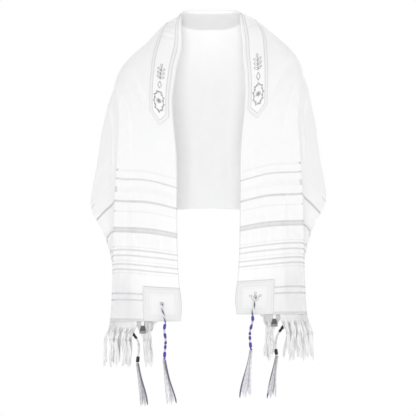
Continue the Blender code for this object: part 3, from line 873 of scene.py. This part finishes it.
# The stem of the buds, from the eyelet. Columns: towards the hem, aside.
BUD_STEM = (
    (-2, 9),
    (5, 7),
    (9, 3),
)
patch_satin = satin_finish(
    "patch_satin", (0.87, 0.87, 0.875), (0.80, 0.80, 0.81), PATCH_BORDER, PATCH_LINES
)
for end_name, end in (("left", -1), ("right", 1)):
    for place, first in (("front", 0.0), ("rear", CLOTH_WIDTH - PATCH_WIDTH)):
        patch_along = end * np.linspace(HALF_LENGTH - PATCH_HEIGHT, HALF_LENGTH, 29)
        if end < 0:
            patch_along = patch_along[::-1]
        patch_across = first + np.linspace(0, PATCH_WIDTH, 31)
        grid_along, grid_across = np.meshgrid(patch_along, patch_across, indexing="ij")
        up = HALF_LENGTH - np.abs(grid_along)
        height_room = np.minimum(up, PATCH_HEIGHT - up)
        side_room = np.minimum(grid_across - first, first + PATCH_WIDTH - grid_across)
        room = np.minimum(height_room, side_room)
        puff = PATCH_LIFT + 0.7 * ease(room / 2.5)
        points, _ = on_cloth(grid_along, grid_across, puff)
        name = "patch_" + place + "_" + end_name
        patch = sheet_piece(name, points, grid_along, grid_across, PATCH_WALL)
        keep_places(patch, "edge", grid_along, room)
        patch.data.materials.append(patch_satin)
        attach(patch, "root")
        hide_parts("corner_patch_" + place + "_" + end_name)

eyelet_rings = Yarns()
for end in (-1, 1):
    for across_place in (EYELET_ACROSS, CLOTH_WIDTH - EYELET_ACROSS):
        middle = (end * (HALF_LENGTH - EYELET_ABOVE_HEM), across_place)
        for radius in (3.2, 4.2):
            line, normals = thread_path(ring(middle, radius, radius, 20), EYELET_LIFT, True, 0.6)
            eyelet_rings.add(line, 0.65, normals, 6)
        if end < 0 and across_place < CLOTH_WIDTH / 2:
            continue
        for side in (-1, 1):
            stem = [(middle[0] + end * low, middle[1] + side * aside) for low, aside in BUD_STEM]
            line, normals = thread_path(stem, EYELET_LIFT)
            eyelet_rings.add(line, 0.75, normals, 5)
        for turn in (-1.25, 0.0, 1.25):
            root = (middle[0] - end * 5.5 * math.cos(turn), middle[1] + 8.5 * math.sin(turn))
            heading = math.atan2(math.sin(turn), -end * math.cos(turn))
            line, normals = thread_path(leaf(root, heading, 7.0, 5.0), EYELET_LIFT, True, 0.6)
            eyelet_rings.add(line, 0.7, normals, 5)
eyelets = eyelet_rings.piece("eyelet_stitching", [grey_thread])
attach(eyelets, "root")

# The fringe: at each short end the cloth's own warp yarns run on past the hem between the
# patches. They are gathered into locks, tied with a small knot, and hang loose below it.
FRINGE_INSET = 104.0
LOCK_PITCH = 13.0
LOCK_LENGTH = 104.0
LOCK_YARNS = 9
YARN_RADIUS = 1.15
HEADER_HEIGHT = 24.0
KNOT_DROP = 46.0
# How the locks swing apart round the rear tassel. Columns: side where a lock starts, side
# where it ends.
LOCK_SWEEP = (
    (125, 144),
    (150, 150),
    (179, 156),
    (181, 196),
    (200, 208),
    (245, 259),
)


def hem_frame(end, across):
    """Points, downward, sideways and outward directions along one hem."""
    hem, normals = on_cloth(end * HALF_LENGTH, across)
    above, _ = on_cloth(end * (HALF_LENGTH - 12), across)
    down = unit(hem - above)
    return hem, down, unit(np.gradient(hem, axis=0)), normals


fringe_yarn = yarn_finish("fringe_yarn", (0.98, 0.98, 0.98), (0.91, 0.91, 0.915), 3.4, 0.8, 0.3)
sweep_start, sweep_end = np.array(LOCK_SWEEP).T
for end_name, end in (("left", -1), ("right", 1)):
    draw = random.Random(71 + end)
    locks = int(round((CLOTH_WIDTH - 2 * FRINGE_INSET) / LOCK_PITCH))
    edges = np.linspace(FRINGE_INSET, CLOTH_WIDTH - FRINGE_INSET, locks * LOCK_YARNS + 1)
    hem, down, sideways, outward = hem_frame(end, (edges[1:] + edges[:-1]) / 2)
    fringe = Yarns()
    share = np.linspace(0, 1, 26)
    for k in range(locks):
        # The lock's yarns leave the hem side by side, gather, and hang round one middle line.
        own = slice(k * LOCK_YARNS, (k + 1) * LOCK_YARNS)
        root = hem[own].mean(axis=0)
        fall = unit(down[own].mean(axis=0) + np.array([0, 0, -0.8]))
        side = unit(sideways[own].mean(axis=0))
        out = unit(np.cross(side, fall))
        length = LOCK_LENGTH * (1 + 0.06 * math.sin(1.7 * k + end))
        phase = draw.uniform(0, 2 * math.pi)
        swing = end * (np.interp(abs(root[0]), sweep_start, sweep_end) - abs(root[0])) * ease(share / 0.5)
        sway = draw.uniform(-3, 3) * share + 2.4 * np.sin(phase + 7.0 * share) * ease(share * 2)
        bow = draw.uniform(-3, 3) * share + 2.0 * np.sin(phase * 1.7 + 4.0 * share) * share
        fall[0] *= 0.4
        middle = root + fall * (length * share)[:, None] + side * sway[:, None] + out * bow[:, None]
        middle[:, 0] += swing
        gather = ease((share * length - HEADER_HEIGHT * 0.5) / HEADER_HEIGHT)
        knot = np.exp(-((share * length - KNOT_DROP) / 5) ** 2)
        tip = ease((share - 0.8) / 0.2)
        spread = 3.4 + 0.8 * share - 1.2 * knot - 1.8 * tip
        for m in range(LOCK_YARNS):
            turn = 2 * math.pi * m / LOCK_YARNS + 3.2 * share + phase
            stray = draw.uniform(0.5, 1.15)
            loose = side * (np.cos(turn) * spread * stray)[:, None]
            loose = loose + out * (np.sin(turn) * spread * 0.7)[:, None]
            start = hem[own][m] - root
            line = middle + start * (1 - gather)[:, None] + loose * gather[:, None]
            line += fall * (draw.uniform(-5, 4) * share ** 3)[:, None]
            radius = YARN_RADIUS * (1 - 0.5 * ease((share - 0.85) / 0.15))
            fringe.add(line, radius, out, 6)
        # Two turns of yarn tie the lock.
        tie_turn = np.linspace(0, 4 * math.pi, 30)
        tie_share = (KNOT_DROP + np.linspace(-2.4, 2.4, 30)) / length
        tie_middle = np.stack([np.interp(tie_share, share, middle[:, a]) for a in range(3)], -1)
        tie = side * (3.3 * np.cos(tie_turn))[:, None] + out * (2.6 * np.sin(tie_turn))[:, None]
        fringe.add(tie_middle + tie, 1.1, fall, 5)
    piece = fringe.piece("fringe_yarns_" + end_name, [fringe_yarn])
    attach(piece, "root")
    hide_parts("fringe_" + end_name)

# The corner tassels: cords passed through the eyelets, bound with a thread that is blue in
# front and almost black behind, and tied with double knots. Eight strands hang below.
FRONT_LEFT_CORD = (
    (-111, -138.5, -697),
    (-106, -138.5, -720),
    (-108, -136, -738),
    (-105, -136, -760),
    (-106, -136, -784),
    (-108, -136, -812),
)
FRONT_RIGHT_CORD = (
    (112, -138.5, -678),
    (107, -138.5, -699),
    (108, -136, -714),
    (103, -136, -735),
    (101, -136, -758),
    (104, -136, -788),
)
REAR_LEFT_CORD = (
    (-187, -54, -712),
    (-195, -57, -746),
    (-180, -58, -768),
    (-174, -58, -794),
    (-176, -57, -812),
    (-178, -57, -830),
)
REAR_RIGHT_CORD = (
    (187, -54, -697),
    (192, -57, -728),
    (178, -58, -750),
    (169, -58, -772),
    (168, -57, -792),
    (171, -57, -811),
)
# Wound stretches. Columns: share of the cord where it starts, where it ends, outer radius,
# finish (0 the white cord, 1 the coloured thread).
FRONT_WINDINGS = (
    (0.36, 0.45, 3.9, 1),
    (0.46, 0.52, 3.2, 0),
    (0.53, 0.61, 3.7, 1),
    (0.62, 0.66, 3.2, 0),
    (0.67, 0.72, 3.4, 1),
    (0.74, 0.80, 3.5, 1),
    (0.81, 0.85, 3.2, 0),
    (0.86, 0.95, 4.0, 1),
    (0.97, 0.99, 3.2, 1),
)
REAR_WINDINGS = (
    (0.42, 0.50, 4.2, 1),
    (0.50, 0.56, 3.6, 1),
    (0.66, 0.69, 3.4, 0),
    (0.76, 0.79, 3.4, 0),
    (0.88, 0.98, 4.6, 1),
)
# Columns: name, end of the cloth, eyelet's distance across, path, side and height where the
# strands end, spread of the strands, windings
TASSELS = (
    ("front_left", -1, EYELET_ACROSS, FRONT_LEFT_CORD, -91, -921, 11, FRONT_WINDINGS),
    ("front_right", 1, EYELET_ACROSS, FRONT_RIGHT_CORD, 88, -905, 11, FRONT_WINDINGS),
    ("rear_left", -1, CLOTH_WIDTH - EYELET_ACROSS, REAR_LEFT_CORD, -161, -938, 9, REAR_WINDINGS),
    ("rear_right", 1, CLOTH_WIDTH - EYELET_ACROSS, REAR_RIGHT_CORD, 155, -918, 9, REAR_WINDINGS),
)
CORD_PLIES = 4
CORD_OFFSET = 1.35
PLY_RADIUS = 1.15
THREAD_RADIUS = 0.75
STRANDS = 8
STRAND_RADIUS = 2.0

white_cord = yarn_finish("white_cord", (0.90, 0.90, 0.91), (0.60, 0.60, 0.63), 2.4, 0.75, 0.25)
blue_thread = yarn_finish("blue_thread", (0.11, 0.08, 0.52), (0.045, 0.032, 0.28), 1.6, 0.6)
dark_thread = yarn_finish("dark_thread", (0.035, 0.03, 0.06), (0.008, 0.008, 0.014), 1.6, 0.6)
loose_cord = yarn_finish("loose_cord", (0.76, 0.76, 0.79), (0.58, 0.58, 0.62), 14.0, 0.75, 0.1)
grey_cord = yarn_finish("grey_cord", (0.66, 0.66, 0.68), (0.50, 0.50, 0.53), 14.0, 0.75, 0.1)
dusk_cord = yarn_finish("dusk_cord", (0.22, 0.22, 0.28), (0.10, 0.10, 0.14), 5.0, 0.7)


def helix(middle, radius, turns, start, facing):
    """Line that winds round a middle line."""
    ahead = unit(np.gradient(middle, axis=0))
    side = unit(np.cross(ahead, facing))
    front = unit(np.cross(side, ahead))
    turn = start + 2 * math.pi * turns * np.linspace(0, 1, len(middle))
    return middle + side * (radius * np.cos(turn))[:, None] + front * (radius * np.sin(turn))[:, None]


FACING = np.array([0.0, -1.0, 0.0])
for name, end, eyelet, path, end_side, end_height, spread, windings in TASSELS:
    draw = random.Random(name)
    front = windings is FRONT_WINDINGS
    start, out = on_cloth(end * (HALF_LENGTH - EYELET_ABOVE_HEM), eyelet, 4.4)
    rows = np.concatenate([start[None], np.array(path, float)])
    step = np.linalg.norm(np.diff(rows, axis=0), axis=1)
    knots = np.concatenate([[0.0], np.cumsum(step)]) / step.sum()
    length = step.sum()
    tassel = Yarns()
    # Finishes: 0 white cord, 1 coloured thread, 2 dusk cord, 3 loose cord.
    middle = natural_curve(knots, rows, np.linspace(0, 1, 120))
    for k in range(CORD_PLIES):
        strand = helix(middle, CORD_OFFSET, length / 22, k * math.pi / 2, FACING)
        if k % 2:
            strand[0] = strand[0] - out * 2.0
        kind = 2 if k in (1, 2) and front else 0
        tassel.add(strand, PLY_RADIUS, FACING, 6, kind)
    for low, high, radius, kind in windings:
        turns = (high - low) * length / (1.7 * THREAD_RADIUS)
        at = np.linspace(low, high, max(12, int(turns * 12)))
        bulge = radius - THREAD_RADIUS - 0.9 * (2 * (at - low) / (high - low) - 1) ** 4
        wound = helix(natural_curve(knots, rows, at), bulge, turns, 0.0, FACING)
        tassel.add(wound, THREAD_RADIUS, FACING, 6, kind)
    foot = middle[-1]
    drop = np.array([end_side, foot[1], end_height]) - foot
    share = np.linspace(0, 1, 40)
    for k in range(STRANDS):
        place = 2 * k / (STRANDS - 1) - 1
        spoke = np.array([place, 0.5 * math.cos(5 * k), 0.0])
        reach = 1 - 0.04 * ((3 * k) % 4)
        opening = 2.2 + (spread - 2.2) * ease(share)
        curl = draw.uniform(1.0, 2.4) * np.sin(draw.uniform(3, 6) * share + draw.uniform(0, 6)) * share
        line = foot + np.outer(share * reach, drop) + np.outer(opening, spoke)
        line[:, 0] += curl
        kind = 2 if place * end < -0.9 else 3
        tassel.add(line, STRAND_RADIUS * (1 - 0.5 * ease((share - 0.93) / 0.07)), FACING, 10, kind)
    thread = blue_thread if front else dark_thread
    loose = loose_cord if front else grey_cord
    piece = tassel.piece("corner_tassel_" + name, [white_cord, thread, dusk_cord, loose])
    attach(piece, "root")
    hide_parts("tzitzit_" + name)

# The tags: a short piece of dark woven tape folded and sewn into the hem beside each front
# patch, a little wider at its foot.
TAG_ACROSS = 92.0
TAG_TOP_WIDTH = 7.0
TAG_FOOT_WIDTH = 16.0
TAG_HEIGHT = 30.0
TAG_WALL = 0.8

tag_grey, shader, along, across = new_finish("tag_grey", "cut", Sheen_Weight=0.2, Specular_IOR_Level=0.3)
rib = along.wave(0.0011)
mottle = noise(along, 500.0)
fade = along.line(0.027, 0.006, 0.002) * (0.6 + along.wave(0.0022) * 0.4)
tape = (mottle * 0.4 + fade * 0.9).tint((0.04, 0.04, 0.045), (0.40, 0.40, 0.41))
connect(
    shader,
    Base_Color=along.line(0.0, 0.021, 0.0015).tint(tape, (0.90, 0.90, 0.905)),
    Roughness=0.7 + mottle * 0.15,
    Normal=bump(rib + across.wave(0.0011) + mottle, 0.5, 0.3),
)
for end_name, end in (("left", -1), ("right", 1)):
    hem, _ = on_cloth(end * HALF_LENGTH, TAG_ACROSS)
    down = np.linspace(0, 1, 13)
    aside = np.linspace(-0.5, 0.5, 9)
    grid_down, grid_aside = np.meshgrid(down, aside, indexing="ij")
    width = TAG_TOP_WIDTH + (TAG_FOOT_WIDTH - TAG_TOP_WIDTH) * np.clip((grid_down - 0.3) / 0.5, 0, 1)
    cup = 1.2 * (grid_aside * 2) ** 2 * grid_down
    points = np.stack([hem[0] + grid_aside * width, hem[1] + cup, hem[2] - TAG_HEIGHT * grid_down], -1)
    tag = sheet_piece("tag_" + end_name, points, grid_down * TAG_HEIGHT, grid_aside * width, TAG_WALL)
    tag.data.materials.append(tag_grey)
    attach(tag, "root")
    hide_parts("hem_tag_" + end_name)

# The studio: a pale round floor well below the hanging cloth, a white room and soft lamps all
# round.
FLOOR_LEVEL = -1.45
FLOOR_RADIUS = 1.9
bpy.ops.mesh.primitive_circle_add(
    vertices=96, radius=FLOOR_RADIUS, fill_type="NGON", location=(0, 0, FLOOR_LEVEL)
)
floor = bpy.context.active_object
floor.name = "studio_floor"
floor_paint = bpy.data.materials.new("floor_paint")
floor_paint.use_nodes = True
floor_shader = floor_paint.node_tree.nodes["Principled BSDF"]
floor_shader.inputs["Base Color"].default_value = (0.93, 0.93, 0.93, 1.0)
floor_shader.inputs["Roughness"].default_value = 0.9
floor.data.materials.append(floor_paint)

ROOM_LIGHT = 0.66
world = bpy.data.worlds.new("white_room")
world.use_nodes = True
backdrop = Shade(world.node_tree, None).node("ShaderNodeLightPath", {}, {})
# Seen directly the room is plain white, and it lights the shawl a little less strongly.
background = world.node_tree.nodes["Background"]
background.inputs["Color"].default_value = (1.0, 1.0, 1.0, 1.0)
world.node_tree.links.new((backdrop * (1 - ROOM_LIGHT) + ROOM_LIGHT).socket, background.inputs["Strength"])
bpy.context.scene.world = world
bpy.context.scene.view_settings.view_transform = "Standard"

# Columns: name, direction that the light comes from, softness in degrees, strength
LAMPS = (
    ("front_lamp", (-0.03, -1.0, -0.18), 12, 1.17),
    ("left_lamp", (-1.0, -0.4, 0.3), 50, 0.48),
    ("right_lamp", (1.0, -0.4, 0.2), 50, 0.53),
    ("back_lamp", (0.1, 1.0, 0.35), 50, 1.1),
)
for name, origin, softness, strength in LAMPS:
    lamp = bpy.data.lights.new(name, "SUN")
    lamp.angle = math.radians(softness)
    lamp.energy = strength
    holder = bpy.data.objects.new(name, lamp)
    bpy.context.scene.collection.objects.link(holder)
    level = math.hypot(origin[0], origin[1])
    holder.rotation_euler = (math.atan2(level, origin[2]), 0, math.atan2(origin[0], -origin[1]))

# A small spot low in front lights the inside of the neck.
NECK_LAMP_PLACE = (0.0, -2.6, -0.6)
NECK_PLACE = (0.0, 0.1, 0.05)
neck_lamp = bpy.data.lights.new("neck_lamp", "SPOT")
neck_lamp.energy = 42.0
neck_lamp.spot_size = math.radians(4.6)
neck_lamp.spot_blend = 0.7
neck_lamp.shadow_soft_size = 0.08
holder = bpy.data.objects.new("neck_lamp", neck_lamp)
holder.location = NECK_LAMP_PLACE
climb = math.atan2(NECK_PLACE[2] - NECK_LAMP_PLACE[2], NECK_PLACE[1] - NECK_LAMP_PLACE[1])
holder.rotation_euler = (math.pi / 2 + climb, 0, 0)
bpy.context.scene.collection.objects.link(holder)

# The camera: level with the middle of the shawl, 3.2 m in front of it.
CAMERA_PLACE = (-0.0013, -3.2, -0.441)
PHOTO_WIDTH = 416
METRES_PER_PIXEL = 0.00255
FRAME_WIDTH = PHOTO_WIDTH * METRES_PER_PIXEL
SENSOR = 36.0
camera = bpy.data.cameras.new("camera")
camera.sensor_width = SENSOR
camera.lens = SENSOR * -CAMERA_PLACE[1] / FRAME_WIDTH
viewpoint = bpy.data.objects.new("camera", camera)
viewpoint.location = CAMERA_PLACE
viewpoint.rotation_euler = (math.pi / 2, 0, 0)
bpy.context.scene.collection.objects.link(viewpoint)
bpy.context.scene.camera = viewpoint

bpy.context.view_layer.update()
